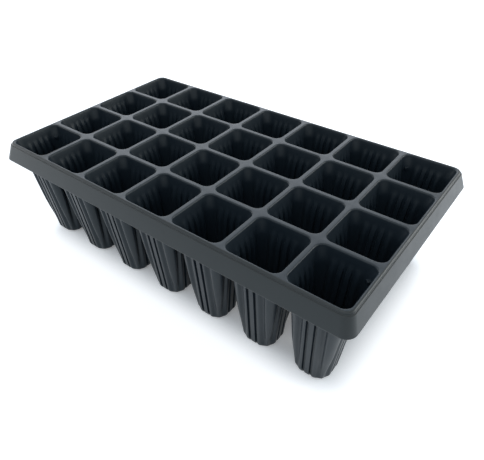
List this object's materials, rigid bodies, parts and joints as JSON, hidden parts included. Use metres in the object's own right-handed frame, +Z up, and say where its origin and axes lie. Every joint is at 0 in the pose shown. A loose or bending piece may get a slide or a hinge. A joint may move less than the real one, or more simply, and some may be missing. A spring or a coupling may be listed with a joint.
{
  "type": "plug tray",
  "caption": "Rigid black nursery plug tray: a flat deck of rounded square mouths over deep, tapered, fluted pots with drain holes, ringed by a flared skirt.",
  "frame": {"origin": "centre of the footprint, on the plane that the pots' feet stand on", "axes": "+X along the long side with seven cells, +Y along the short side with four cells, +Z up out of the cell mouths"},
  "size_m": [0.53, 0.311, 0.143],
  "materials": {
    "tray_plastic": "satin black, moulded",
    "pot_plastic": "satin black, moulded"
  },
  "bodies": {
    "root": {"deck": "tray_plastic", "skirt": "tray_plastic", "pot_a1": "pot_plastic", "pot_a2": "pot_plastic", "pot_a3": "pot_plastic", "pot_a4": "pot_plastic", "pot_a5": "pot_plastic", "pot_a6": "pot_plastic", "pot_a7": "pot_plastic", "pot_b1": "pot_plastic", "pot_b2": "pot_plastic", "pot_b3": "pot_plastic", "pot_b4": "pot_plastic", "pot_b5": "pot_plastic", "pot_b6": "pot_plastic", "pot_b7": "pot_plastic", "pot_c1": "pot_plastic", "pot_c2": "pot_plastic", "pot_c3": "pot_plastic", "pot_c4": "pot_plastic", "pot_c5": "pot_plastic", "pot_c6": "pot_plastic", "pot_c7": "pot_plastic", "pot_d1": "pot_plastic", "pot_d2": "pot_plastic", "pot_d3": "pot_plastic", "pot_d4": "pot_plastic", "pot_d5": "pot_plastic", "pot_d6": "pot_plastic", "pot_d7": "pot_plastic"}
  },
  "joints": []
}
